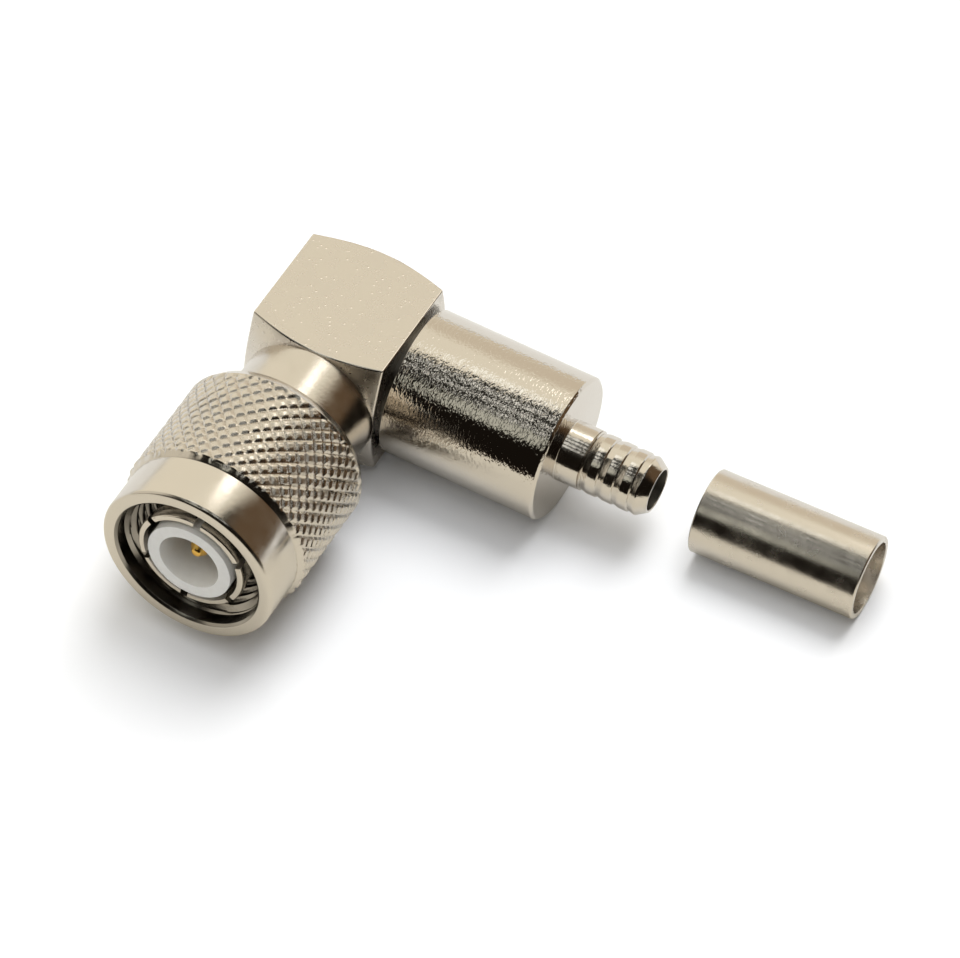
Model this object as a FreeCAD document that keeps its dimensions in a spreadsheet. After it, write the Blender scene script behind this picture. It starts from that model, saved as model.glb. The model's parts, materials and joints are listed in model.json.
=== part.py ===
import FreeCAD, Part
import math
import os
import re

import Sketcher

# Right-angle threaded coaxial crimp plug, lying on a bench with its crimp ferrule beside it.
# Millimetres. Every piece is drawn square to the plug: the mating axis is Y, with the mating
# direction along -Y and the origin at the middle of the outer contact's front face, which is
# the plug's reference plane. The cable axis crosses it at elbow_depth and leaves along +X.
# Radii end in _r, places along an axis end in _at, and thicknesses and spans in _len.

# Sizes that can be set by themselves.
sizes = {
    # the two axes and how the plug lies
    "elbow_depth": 22.74,       # reference plane to the cable axis
    "lean_back": 6.55,          # degrees: the mouth is off the bench, the bar's back edge is on it
    "droop": 1.08,              # degrees: the cable side is down on the edge of its barrel
    # coupling nut
    "nut_ahead": 0.53,          # the nut's mouth stands in front of the reference plane
    "collar_len": 3.86,
    "step_len": 0.24,           # from the smooth collar to the first full row of teeth
    "tail_len": 0.70,           # smooth cone behind the knurl, which fills what is left
    "collar_wall": 1.16,        # round the lead-in
    "knurl_rise": 0.39,         # the teeth stand above the collar
    "knurl_depth": 0.30,
    "knurl_pitch": 1.176,       # along the nut, from tooth to tooth
    "knurl_teeth": 40,          # round the nut
    "knurl_run_out": 0.25,      # the grooves end this far before the tail cone
    "knurl_foot": 0.06,         # the knurl starts this much lower than the collar
    "knurl_bed": 0.25,          # metal of the knurled band under its grooves
    "tail_drop": 0.40,
    "mouth_cone": 0.18,         # at 45 degrees
    "mouth_round": 0.30,
    "lead_in_r": 5.60,
    "lead_in_len": 1.10,
    "thread_depth": 0.48,       # lead-in to the 7/16-28 thread's crest, left plain here
    "thread_len": 7.60,
    "thread_relief_len": 1.40,
    "thread_relief_room": 0.524,    # the relief is this much larger all round than the neck
    "lip_to_ring": 1.23,        # front of the nut's inner lip to the middle of the ring
    "ring_to_back": 1.64,       # and from there to the back of the nut
    # neck of the elbow and what sits on it
    "neck_wall": 1.086,
    "neck_inset": 0.22,         # the neck's front stands this far in front of the nut's inner lip
    "nut_slack": 0.07,          # radial running clearance of the nut on the neck
    "float_each_way": 0.25,     # the nut and its ring slide this far either way
    "ring_side_gap": 0.05,
    "ring_len": 0.60,
    "ring_wall": 0.76,
    "ring_depth": 0.43,         # how far the ring sinks into the neck
    "ring_gap_deg": 34.0,
    "gasket_inset": 0.166,      # its rim is this much smaller than the neck's
    "gasket_len": 1.20,
    "gasket_slack": 0.06,
    # elbow block, a length of square bar with both ends turned
    "bar_width": 10.54,
    "blind_side": 5.47,         # plug axis to the closed side
    "entry_side": 5.07,         # plug axis to the faced side that takes the cable entry
    "end_cone_deg": 23.7,
    "bar_front": 5.62,          # cable axis to the plane where the neck leaves the bar
    "bar_back": 5.24,           # cable axis to the flat back face
    # bores of the elbow
    "contact_seat_len": 4.35,   # how deep the outer contact is pressed in
    "cap_r": 4.30,
    "cap_len": 1.00,
    "cap_edge": 0.15,
    "cap_rim": 0.90,            # the flat round the cap, on the bar's back face
    "entry_hole_r": 2.20,
    # outer contact
    "sleeve_r": 4.04,
    "sleeve_wall": 0.38,
    "lip_rise": 0.138,          # the lip stands out from the sleeve
    "lip_step": 0.08,           # its inner edge is opened out by this much
    "lip_round": 0.15,
    "lip_land_len": 0.75,       # the lip is full size this far back
    "lip_len": 1.30,            # and has come down to the sleeve here
    "lip_hollow_len": 0.50,
    "finger_count": 6,
    "slot_width": 0.55,
    "slot_len": 7.40,
    "slot_turn": 5.0,           # degrees from straight up towards the cable side
    # insulators
    "finger_gap": 0.36,         # radial, between the fingers and the insulator's bore
    "seat_gap": 0.02,           # radial, pieces pressed or slid into place for good
    "dielectric_ahead": 0.19,
    "dielectric_mouth_r": 2.35,
    "dielectric_mouth_len": 9.00,
    "dielectric_back": 3.60,    # cable axis to the back of the front insulator
    "cap_disc_len": 1.30,
    "cap_disc_gap": 0.08,
    # centre contact
    "pin_r": 0.685,
    "pin_tip_at": 0.72,
    "pin_tip_r": 0.30,
    "pin_tip_len": 0.55,
    "pin_seat_r": 0.90,         # the stretch inside the insulator
    "pin_shoulder_at": 14.00,
    "post_r": 1.03,
    "post_past_axis": 1.20,
    "wire_slot_width": 1.00,
    "wire_slot_depth": 1.70,
    # cable entry
    "spigot_r": 3.00,
    "spigot_len": 1.74,
    "relief_depth": 0.97,
    "relief_len": 0.53,
    "barrel_r": 5.52,
    "barrel_len": 12.26,
    "barrel_rim_len": 0.22,
    "barrel_rim_wall": 0.62,
    "barrel_round": 0.12,
    "stem_bore_r": 1.57,
    "stem_root_wall": 0.72,
    "stem_root_len": 1.94,
    "barb_count": 4,
    "barb_pitch": 1.27,
    "barb_valley_wall": 0.56,
    "barb_height": 0.14,
    "stem_tip_wall": 0.17,
    "stem_tip_len": 0.11,
    # crimp ferrule, loose on the bench
    "braid_room": 0.43,         # radial, left for the cable's braid over the barbs
    "ferrule_wall": 0.45,
    "ferrule_len": 12.75,
    "ferrule_edge": 0.10,
    "ferrule_ahead": 3.195,     # its near end is this far beyond the stem's
    "ferrule_aside": 1.49,      # and its middle this far behind the cable axis
    "ferrule_yaw": 1.15,        # degrees
}

# Sizes that follow from those above, as words that the sheet's expressions are made of.
nut_len = "(lead_in_len + thread_len + thread_relief_len + lip_to_ring + ring_to_back)"
collar_r = "(lead_in_r + collar_wall)"
knurl_r = f"({collar_r} + knurl_rise)"
tail_r = f"({knurl_r} - tail_drop)"
mouth_r = "(lead_in_r + mouth_cone)"
thread_crest_r = "(lead_in_r - thread_depth)"
knurl_back_at = f"({nut_len} - nut_ahead - tail_len)"
knurl_bed_r = f"({knurl_r} - knurl_depth - knurl_bed)"
nut_lip_at = "(lead_in_len + thread_len + thread_relief_len - nut_ahead)"
neck_front_at = f"({nut_lip_at} - neck_inset)"
ring_at = f"({nut_lip_at} + lip_to_ring)"
contact_seat_at = f"({neck_front_at} + contact_seat_len)"
neck_r = "(sleeve_r + neck_wall)"
lip_r = "(sleeve_r + lip_rise)"
bore_r = "(sleeve_r - sleeve_wall - finger_gap)"
end_face_r = "(cap_r + cap_rim)"
barrel_front_at = "(entry_side + relief_len)"
barrel_end_at = f"({barrel_front_at} + barrel_len)"
stem_barbs_at = f"({barrel_end_at} + stem_root_len)"
stem_end_at = f"({stem_barbs_at} + barb_count * barb_pitch + stem_tip_len)"
ferrule_bore_r = "(stem_bore_r + barb_valley_wall + barb_height + braid_room)"
ferrule_r = f"({ferrule_bore_r} + ferrule_wall)"

doc = FreeCAD.newDocument("tnc_plug")
sheet = doc.addObject("Spreadsheet::Sheet", "Sizes")
for row, (alias, value) in enumerate(sizes.items(), start=1):
    sheet.set(f"A{row}", alias)
    sheet.set(f"B{row}", str(value))
    sheet.setAlias(f"B{row}", alias)
doc.recompute()


def size(*aliases):
    """The value of one cell, or the sum of several, as a plain number."""
    return sum(float(sheet.get(alias)) for alias in aliases)


def linked(words):
    """Words such as 'knurl_r - tail_r' as an expression that reads the sheet."""
    return re.sub(r"[a-z_]+", lambda m: f"Sizes.{m[0]}" if m[0] in sizes else m[0], words)


def following(words):
    """The value of one of the words that follow from the sizes, as a plain number."""
    scratch = doc.addObject("App::FeaturePython", "scratch")
    scratch.addProperty("App::PropertyFloat", "value")
    scratch.setExpression("value", linked(words))
    doc.recompute()
    value = scratch.value
    doc.removeObject(scratch.Name)
    return value


def origin_plane(body, role):
    return next(f for f in body.Origin.OriginFeatures if f.Role == role)


def volume(body):
    return 0.0 if body.Shape.isNull() else body.Shape.Volume


def new_body(label):
    body = doc.addObject("PartDesign::Body", label)
    body.Label = label
    return body


def outline(body, name, corners):
    """A closed outline of straight sides, each corner held by two linked distances."""
    sketch = body.newObject("Sketcher::SketchObject", name)
    sketch.AttachmentSupport = (origin_plane(body, "XY_Plane"), [""])
    sketch.MapMode = "FlatFace"
    count = len(corners)
    start = [
        FreeCAD.Vector(10 * math.cos(2 * math.pi * i / count), 10 * math.sin(2 * math.pi * i / count), 0)
        for i in range(count)
    ]
    for i in range(count):
        sketch.addGeometry(Part.LineSegment(start[i], start[(i + 1) % count]), False)
    for i in range(count):
        sketch.addConstraint(Sketcher.Constraint("Coincident", i, 2, (i + 1) % count, 1))
    for i, (across, along) in enumerate(corners):
        for kind, words in (("DistanceX", across), ("DistanceY", along)):
            index = sketch.addConstraint(Sketcher.Constraint(kind, -1, 1, i, 1, 1.0))
            sketch.setExpression(f"Constraints[{index}]", linked(words))
    doc.recompute()
    return sketch


def turn(body, name, corners, about="plug axis", cut=False):
    """A full turn of an outline. About the plug axis a corner is (radius, place along Y); about
    the cable axis, or the piece's own X axis, it is (place along X, radius)."""
    sketch = outline(body, name + "_outline", corners)
    if about == "cable axis":
        sketch.setExpression("AttachmentOffset.Base.y", linked("elbow_depth"))
    kind = "PartDesign::Groove" if cut else "PartDesign::Revolution"
    before = volume(body)
    feature = body.newObject(kind, name)
    feature.Profile = sketch
    feature.ReferenceAxis = (sketch, ["V_Axis" if about == "plug axis" else "H_Axis"])
    feature.Angle = 360.0
    doc.recompute()
    if cut and not volume(body) < before:
        raise RuntimeError(f"{body.Label}: {name} removes nothing")
    return feature


def block_out(body, name, corners, kind, from_words, to_words, turned=None):
    """A pad or pocket of an outline, from one linked height above the XY plane to another,
    and turned about the plug axis where that is given."""
    sketch = outline(body, name + "_outline", corners)
    if turned:
        tilt = FreeCAD.Rotation(FreeCAD.Vector(0, 1, 0), size(turned))
        sketch.AttachmentOffset = FreeCAD.Placement(FreeCAD.Vector(), tilt)
        sketch.setExpression("AttachmentOffset.Rotation.Angle", linked(turned))
    else:
        sketch.setExpression("AttachmentOffset.Base.z", linked(from_words))
    before = volume(body)
    feature = body.newObject("PartDesign::" + kind, name)
    feature.Profile = sketch
    feature.setExpression("Length", linked(f"{to_words} - ({from_words})"))
    feature.Reversed = kind == "Pocket"
    doc.recompute()
    if kind == "Pocket" and not volume(body) < before:
        raise RuntimeError(f"{body.Label}: {name} removes nothing")
    return feature


def circles(body, radius, at, along="y"):
    """Names of the round edges of one radius at one place along Y, or along X."""
    found = []
    for number, edge in enumerate(body.Shape.Edges, start=1):
        if not isinstance(edge.Curve, Part.Circle):
            continue
        off_place = abs(getattr(edge.Curve.Center, along) - at)
        if abs(edge.Curve.Radius - radius) < 1e-4 and off_place < 1e-4:
            found.append(f"Edge{number}")
    if not found:
        raise RuntimeError(f"{body.Label}: no round edge of radius {radius} at {at}")
    return found


def ease(body, name, kind, edges, words):
    """A fillet or chamfer of linked size on the given edges."""
    base = body.Tip
    feature = body.newObject("PartDesign::" + kind, name)
    feature.Base = (base, edges)
    feature.setExpression("Radius" if kind == "Fillet" else "Size", linked(words))
    doc.recompute()
    return feature


def nut_blank():
    """The nut as turned, up to the bed of its knurl: smooth collar at the mouth, and a lip behind
    that runs on the neck and holds the retaining ring in a groove."""
    body = new_body("nut_blank")
    collar_back = "collar_len - nut_ahead"
    nut_back = f"{nut_len} - nut_ahead"
    thread_front = "lead_in_len - nut_ahead"
    thread_back = f"{thread_front} + thread_len"
    running_r = f"{neck_r} + nut_slack"
    relief_r = f"{neck_r} + thread_relief_room"
    groove_r = f"{neck_r} - ring_depth + ring_wall + nut_slack"
    groove_half = "ring_len / 2 + ring_side_gap"
    turn(body, "turned_nut", [
        (mouth_r, "-nut_ahead"),
        (collar_r, "-nut_ahead"),
        (collar_r, collar_back),
        (knurl_bed_r, collar_back),
        (knurl_bed_r, knurl_back_at),
        (knurl_r, knurl_back_at),
        (tail_r, nut_back),
        (running_r, nut_back),
        (running_r, f"{ring_at} + {groove_half}"),
        (groove_r, f"{ring_at} + {groove_half}"),
        (groove_r, f"{ring_at} - ({groove_half})"),
        (running_r, f"{ring_at} - ({groove_half})"),
        (running_r, nut_lip_at),
        (relief_r, nut_lip_at),
        (relief_r, thread_back),
        (thread_crest_r, thread_back),
        (thread_crest_r, thread_front),
        ("lead_in_r", thread_front),
        ("lead_in_r", "mouth_cone - nut_ahead"),
    ])
    mouth = circles(body, following(collar_r), -size("nut_ahead"))
    ease(body, "mouth_edge", "Fillet", mouth, "mouth_round")
    return body


def knurled_band():
    """The diamond knurl, a ring of four-sided teeth left by two sets of crossed grooves. Its
    points stand in rows round the nut, by turns the tip of a tooth and a crossing of two grooves,
    and each groove runs straight on from crossing to crossing."""
    front = size("collar_len") - size("nut_ahead")
    back = following(knurl_back_at)
    first_row = front + size("step_len")
    last_row = back - size("knurl_run_out")
    steps = max(1, round(2 * (last_row - first_row) / size("knurl_pitch")))
    tip_r = following(knurl_r)
    groove_r = tip_r - size("knurl_depth")
    foot_r = following(collar_r) - size("knurl_foot")
    end_r = tip_r - size("knurl_foot")
    count = 2 * int(size("knurl_teeth"))

    def points(along, even_r, odd_r):
        row = []
        for place in range(count):
            turned = 2 * math.pi * place / count
            radius = odd_r if place % 2 else even_r
            row.append(FreeCAD.Vector(radius * math.sin(turned), along, radius * math.cos(turned)))
        return row

    rows = [points(front, foot_r, foot_r)]
    for step in range(steps + 1):
        along = first_row + (last_row - first_row) * step / steps
        radii = (tip_r, groove_r) if step % 2 else (groove_r, tip_r)
        rows.append(points(along, *radii))
    rows.append(points(back, end_r, end_r))

    corners = [rows[0], rows[-1]]
    for number in range(len(rows) - 1):
        here, beyond = rows[number], rows[number + 1]
        for place in range(count):
            after = (place + 1) % count
            if (number + place) % 2:
                corners.append([here[place], here[after], beyond[after]])
                corners.append([here[place], beyond[after], beyond[place]])
            else:
                corners.append([here[place], here[after], beyond[place]])
                corners.append([here[after], beyond[after], beyond[place]])
    faces = [Part.Face(Part.makePolygon(around + around[:1])) for around in corners]
    skin = Part.makeShell(faces)
    skin.sewShape()
    blank_bore = Part.makeCylinder(
        following(knurl_bed_r) - size("knurl_bed") / 2,
        back - front,
        FreeCAD.Vector(0, front, 0),
        FreeCAD.Vector(0, 1, 0),
    )
    band = doc.addObject("Part::Feature", "knurled_band")
    band.Label = "knurled_band"
    band.Shape = Part.makeSolid(skin.Shells[0]).cut(blank_bore)
    return band


def coupling_nut():
    """The nut in one piece: the knurled band is of the blank's own metal, and reaches into it."""
    nut = doc.addObject("Part::Fuse", "coupling_nut")
    nut.Label = "coupling_nut"
    nut.Base = nut_blank()
    nut.Tool = knurled_band()
    doc.recompute()
    return nut


def retaining_ring():
    """The open spring ring that keeps the nut on the neck."""
    body = new_body("retaining_ring")
    inner = f"{neck_r} - ring_depth"
    front = f"{ring_at} - ring_len / 2"
    back = f"{ring_at} + ring_len / 2"
    turn(body, "turned_ring", [
        (inner, front),
        (f"{inner} + ring_wall", front),
        (f"{inner} + ring_wall", back),
        (inner, back),
    ])
    half_gap = f"({inner}) * tan(ring_gap_deg / 2)"
    block_out(body, "ring_gap", [
        (f"-({half_gap})", f"{front} - ring_len"),
        (half_gap, f"{front} - ring_len"),
        (half_gap, f"{back} + ring_len"),
        (f"-({half_gap})", f"{back} + ring_len"),
    ], "Pocket", "0", f"{neck_r} + ring_wall")
    return body


def interface_gasket():
    """The soft ring at the bottom of the nut that a mating socket's rim is pulled against."""
    body = new_body("interface_gasket")
    inner = "sleeve_r + gasket_slack"
    outer = f"{neck_r} - gasket_inset"
    front = f"{neck_front_at} - gasket_len"
    turn(body, "moulded_gasket", [
        (inner, front),
        (outer, front),
        (outer, neck_front_at),
        (inner, neck_front_at),
    ])
    rim = circles(body, following(outer), following(front))
    ease(body, "gasket_rim", "Fillet", rim, f"({outer} - ({inner})) / 4")
    return body


def outer_contact():
    """The slotted sleeve: its rolled lips are the earth contact, its plain end is pressed
    into the neck."""
    body = new_body("outer_contact")
    inner = "sleeve_r - sleeve_wall"
    turn(body, "turned_sleeve", [
        (f"{inner} + lip_step", "0"),
        (lip_r, "0"),
        (lip_r, "lip_land_len"),
        ("sleeve_r", "lip_len"),
        ("sleeve_r", contact_seat_at),
        (inner, contact_seat_at),
        (inner, "lip_hollow_len"),
    ])
    front_edge = circles(body, following(lip_r), 0)
    ease(body, "lip_front", "Fillet", front_edge, "lip_round")
    half = "slot_width / 2"
    slot = block_out(body, "sawn_slot", [
        (f"-{half}", "-slot_width"),
        (half, "-slot_width"),
        (half, "slot_len"),
        (f"-{half}", "slot_len"),
    ], "Pocket", "0", f"{lip_r} + slot_width", turned="slot_turn")
    fingers = body.newObject("PartDesign::PolarPattern", "fingers")
    fingers.Originals = [slot]
    fingers.Axis = (slot.Profile[0], ["V_Axis"])
    fingers.Angle = 360.0
    fingers.setExpression("Occurrences", linked("finger_count"))
    body.Tip = fingers
    doc.recompute()
    return body


def front_dielectric():
    """The white insulator that carries the pin and fills the mouth of the outer contact."""
    body = new_body("front_dielectric")
    outer = f"{bore_r} - seat_gap"
    back = "elbow_depth - dielectric_back"
    mouth_floor = "dielectric_mouth_len - dielectric_ahead"
    turn(body, "turned_insulator", [
        ("dielectric_mouth_r", "-dielectric_ahead"),
        (outer, "-dielectric_ahead"),
        (outer, back),
        ("post_r + seat_gap", back),
        ("post_r + seat_gap", "pin_shoulder_at - seat_gap"),
        ("pin_seat_r + seat_gap", "pin_shoulder_at - seat_gap"),
        ("pin_seat_r + seat_gap", mouth_floor),
        ("dielectric_mouth_r", mouth_floor),
    ])
    return body


def centre_contact():
    """The gold pin with its shoulder, and the slotted post that takes the cable's core."""
    body = new_body("centre_contact")
    post_end = "elbow_depth + post_past_axis"
    seat_front = "dielectric_mouth_len - dielectric_ahead"
    turn(body, "turned_pin", [
        ("0", "pin_tip_at"),
        ("pin_tip_r", "pin_tip_at"),
        ("pin_r", "pin_tip_at + pin_tip_len"),
        ("pin_r", seat_front),
        ("pin_seat_r", seat_front),
        ("pin_seat_r", "pin_shoulder_at"),
        ("post_r", "pin_shoulder_at"),
        ("post_r", post_end),
        ("0", post_end),
    ])
    tip = circles(body, size("pin_tip_r"), size("pin_tip_at"))
    ease(body, "pin_nose", "Fillet", tip, "pin_tip_r * 0.8")
    half = "wire_slot_width / 2"
    reach = "post_r + wire_slot_width"
    block_out(body, "wire_slot", [
        (f"-({reach})", f"{post_end} - wire_slot_depth"),
        (reach, f"{post_end} - wire_slot_depth"),
        (reach, f"{post_end} + wire_slot_width"),
        (f"-({reach})", f"{post_end} + wire_slot_width"),
    ], "Pocket", f"-{half}", half)
    return body


def elbow_body():
    """The elbow: a piece of square bar, its ends turned to a cone, its front turned down to the
    neck, and bored through for the contacts and across for the cable entry."""
    body = new_body("elbow_body")
    half = "bar_width / 2"
    back = "elbow_depth + bar_back"
    front = "elbow_depth - bar_front"
    block_out(body, "square_bar", [
        ("-blind_side", front),
        ("entry_side", front),
        ("entry_side", back),
        ("-blind_side", back),
    ], "Pad", f"-({half})", half)
    far = "bar_width"
    turn(body, "front_cone", [
        (neck_r, front),
        (far, f"{front} + ({far} - {neck_r}) * tan(end_cone_deg)"),
        (far, f"{front} - bar_width"),
        (neck_r, f"{front} - bar_width"),
    ], cut=True)
    turn(body, "back_cone", [
        (end_face_r, back),
        (far, f"{back} - ({far} - {end_face_r}) * tan(end_cone_deg)"),
        (far, f"{back} + bar_width"),
        (end_face_r, f"{back} + bar_width"),
    ], cut=True)
    turn(body, "neck", [
        ("0", neck_front_at),
        (neck_r, neck_front_at),
        (neck_r, front),
        ("0", front),
    ])
    groove_floor = f"{neck_r} - ring_depth - nut_slack"
    groove_half = "ring_len / 2 + ring_side_gap + float_each_way"
    clear = f"{neck_r} + ring_wall"
    turn(body, "ring_groove", [
        (groove_floor, f"{ring_at} - ({groove_half})"),
        (clear, f"{ring_at} - ({groove_half})"),
        (clear, f"{ring_at} + {groove_half}"),
        (groove_floor, f"{ring_at} + {groove_half}"),
    ], cut=True)
    turn(body, "through_bore", [
        ("0", f"{neck_front_at} - sleeve_r"),
        ("sleeve_r", f"{neck_front_at} - sleeve_r"),
        ("sleeve_r", contact_seat_at),
        (bore_r, contact_seat_at),
        (bore_r, f"{back} - cap_len"),
        ("cap_r", f"{back} - cap_len"),
        ("cap_r", f"{back} + cap_len"),
        ("0", f"{back} + cap_len"),
    ], cut=True)
    turn(body, "entry_bore", [
        ("0", "0"),
        ("0", "entry_hole_r"),
        ("entry_side - spigot_len", "entry_hole_r"),
        ("entry_side - spigot_len", "spigot_r"),
        ("entry_side + spigot_len", "spigot_r"),
        ("entry_side + spigot_len", "0"),
    ], about="cable axis", cut=True)
    return body


def cable_entry():
    """The heavy turned barrel pressed into the elbow's side, with the grooved stem that goes
    under the cable's braid."""
    body = new_body("cable_entry")
    relief_r = "barrel_r - relief_depth"
    root_r = "stem_bore_r + stem_root_wall"
    valley_r = "stem_bore_r + barb_valley_wall"
    corners = [
        ("entry_side - spigot_len", "stem_bore_r"),
        ("entry_side - spigot_len", "spigot_r"),
        ("entry_side", "spigot_r"),
        ("entry_side", relief_r),
        (barrel_front_at, relief_r),
        (barrel_front_at, "barrel_r"),
        (f"{barrel_end_at} - barrel_rim_len", "barrel_r"),
        (barrel_end_at, "barrel_r - barrel_rim_wall"),
        (barrel_end_at, root_r),
        (stem_barbs_at, root_r),
    ]
    for barb in range(int(size("barb_count"))):
        root = f"{stem_barbs_at} + barb_pitch * {barb}"
        corners.append((f"{root} + barb_pitch * 0.05", valley_r))
        corners.append((f"{root} + barb_pitch * 0.55", f"{valley_r} + barb_height"))
    corners += [
        (stem_end_at, "stem_bore_r + stem_tip_wall"),
        (stem_end_at, "stem_bore_r"),
    ]
    turn(body, "turned_entry", corners, about="cable axis")
    front_x = following(barrel_front_at)
    rim_x = following(barrel_end_at)
    outer = circles(body, size("barrel_r"), rim_x - size("barrel_rim_len"), along="x")
    inner = circles(body, size("barrel_r") - size("barrel_rim_wall"), rim_x, along="x")
    front = circles(body, size("barrel_r"), front_x, along="x")
    ease(body, "barrel_rims", "Fillet", outer + inner + front, "barrel_round")
    return body


def rear_cap():
    """The disc pressed into the back of the elbow once the core has been soldered."""
    body = new_body("rear_cap")
    front = "elbow_depth + bar_back - cap_len"
    turn(body, "turned_cap", [
        ("0", front),
        ("cap_r", front),
        ("cap_r", f"{front} + cap_len - cap_edge"),
        ("cap_r - cap_edge", f"{front} + cap_len"),
        ("0", f"{front} + cap_len"),
    ])
    return body


def cap_disc():
    """The thin insulating disc under the rear cap."""
    body = new_body("cap_insulator")
    back = "elbow_depth + bar_back - cap_len - cap_disc_gap"
    outer = f"{bore_r} - seat_gap"
    turn(body, "turned_disc", [
        ("0", f"{back} - cap_disc_len"),
        (outer, f"{back} - cap_disc_len"),
        (outer, back),
        ("0", back),
    ])
    return body


def crimp_ferrule():
    """The thin tube that is slid over braid and stem and crimped. Drawn about the X axis with
    its middle at the origin."""
    body = new_body("crimp_ferrule")
    half = "ferrule_len / 2"
    turn(body, "turned_tube", [
        (f"-{half}", ferrule_bore_r),
        (f"-{half}", f"{ferrule_r} - ferrule_edge"),
        (f"ferrule_edge - {half}", ferrule_r),
        (f"{half} - ferrule_edge", ferrule_r),
        (half, f"{ferrule_r} - ferrule_edge"),
        (half, ferrule_bore_r),
    ], about="own axis")
    return body


plug_pieces = [
    coupling_nut(),
    retaining_ring(),
    interface_gasket(),
    outer_contact(),
    front_dielectric(),
    centre_contact(),
    elbow_body(),
    cable_entry(),
    rear_cap(),
    cap_disc(),
]
ferrule = crimp_ferrule()


# How the plug lies: leaning back on the rear of its nut, with the back edge of the bar and the
# rim of the barrel down on the bench as well.
lean = FreeCAD.Rotation(FreeCAD.Vector(1, 0, 0), -size("lean_back"))
droop = FreeCAD.Rotation(FreeCAD.Vector(0, 1, 0), size("droop"))
lying = FreeCAD.Placement(FreeCAD.Vector(), lean * droop)
for piece in plug_pieces:
    piece.Placement = lying

# The bench is as far down as the rear edge of the knurl reaches.
lean_angle = math.radians(size("lean_back"))
bench_z = -following(knurl_back_at) * math.sin(lean_angle) - following(knurl_r) * math.cos(lean_angle)

ferrule_middle = FreeCAD.Vector(
    following(f"{stem_end_at} + ferrule_ahead + ferrule_len / 2"),
    size("elbow_depth", "ferrule_aside"),
    bench_z + following(ferrule_r),
)
ferrule_turn = FreeCAD.Rotation(FreeCAD.Vector(0, 0, 1), size("ferrule_yaw"))
ferrule.Placement = FreeCAD.Placement(ferrule_middle, ferrule_turn)
doc.recompute()

pieces = plug_pieces + [ferrule]
for thing in doc.Objects:
    if {"Invalid", "Error"} & set(thing.State):
        raise RuntimeError(f"{thing.Name} failed: {thing.State}")
for piece in pieces:
    if piece.Shape.isNull() or not piece.Shape.isValid():
        raise RuntimeError(f"{piece.Label} has no valid shape")
    if len(piece.Shape.Solids) != 1:
        raise RuntimeError(f"{piece.Label} is {len(piece.Shape.Solids)} solids")

os.makedirs("parts", exist_ok=True)
for piece in pieces:
    piece.Shape.exportStep(f"parts/{piece.Label}.step")
    print(f"{piece.Label}: {piece.Shape.Volume:.2f} mm3")
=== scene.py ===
import json
import math

import bmesh
import bpy
import numpy as np
from mathutils import Matrix, Vector


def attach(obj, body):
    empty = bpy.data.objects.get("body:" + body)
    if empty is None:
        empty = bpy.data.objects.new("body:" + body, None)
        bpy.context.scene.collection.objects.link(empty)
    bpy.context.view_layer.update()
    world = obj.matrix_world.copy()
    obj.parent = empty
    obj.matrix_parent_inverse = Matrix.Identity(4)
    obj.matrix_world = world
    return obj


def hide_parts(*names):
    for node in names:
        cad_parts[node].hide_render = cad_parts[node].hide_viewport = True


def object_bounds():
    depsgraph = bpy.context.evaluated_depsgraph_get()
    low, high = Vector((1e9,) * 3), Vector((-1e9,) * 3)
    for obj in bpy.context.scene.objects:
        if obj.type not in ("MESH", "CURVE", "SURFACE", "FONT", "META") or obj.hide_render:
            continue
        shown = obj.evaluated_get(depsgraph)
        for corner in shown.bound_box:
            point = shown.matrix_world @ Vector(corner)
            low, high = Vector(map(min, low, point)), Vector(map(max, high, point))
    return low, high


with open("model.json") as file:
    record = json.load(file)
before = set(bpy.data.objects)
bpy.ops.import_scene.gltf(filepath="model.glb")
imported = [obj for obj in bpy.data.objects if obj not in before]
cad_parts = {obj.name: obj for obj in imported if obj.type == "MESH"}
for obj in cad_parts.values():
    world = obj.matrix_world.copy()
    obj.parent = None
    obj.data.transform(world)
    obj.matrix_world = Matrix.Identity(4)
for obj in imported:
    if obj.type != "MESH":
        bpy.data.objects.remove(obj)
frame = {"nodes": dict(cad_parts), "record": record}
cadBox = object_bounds()
scene = bpy.context.scene
scene.view_settings.view_transform = "Standard"
print("frame loaded:", len(frame["nodes"]), "pieces")

# Lengths below are in millimetres and angles in degrees, unless a name says otherwise.
mm = 0.001


# The two axes of the plug and the axis of the loose ferrule, read from the frame's mounts.
# Local X is always the turning axis, so a turned outline is a list of (along, radius).

def turningPlace(origin, axis, up):
    along = Vector(axis).normalized()
    upright = (Vector(up) - Vector(up).dot(along) * along).normalized()
    side = along.cross(upright)
    turn = Matrix((along, upright, side)).transposed().to_4x4()
    return Matrix.Translation(origin) @ turn @ Matrix.Scale(mm, 4)


mounts = {mount["name"]: mount for mount in frame["record"]["mounts"]}
plugAxis = -Vector(mounts["outer_contact_lip"]["axis"])     # from the mouth into the plug
cableAxis = Vector(mounts["cable_bore"]["axis"])
plugUp = cableAxis.cross(plugAxis)
elbowDepth = Vector(mounts["crimp_stem"]["pos_m"]).dot(plugAxis)
crossing = plugAxis * elbowDepth
plugPlace = turningPlace((0, 0, 0), plugAxis, plugUp)
cablePlace = turningPlace(crossing, cableAxis, plugUp)
ferruleAxis = mounts["ferrule_bore"]["axis"]
ferrulePlace = turningPlace(mounts["ferrule_bore"]["pos_m"], ferruleAxis, (0, 0, 1))


# Camera

cameraView = {
    "aim": (11.793, 20.724),        # point of the bench in the middle of the picture
    "azimuth": 27.712,
    "elevation": 55.576,
    "roll": 0.4945,
    "distance": 445.72,
    "lens": 233.04,
    "sensor": 36,
}


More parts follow.
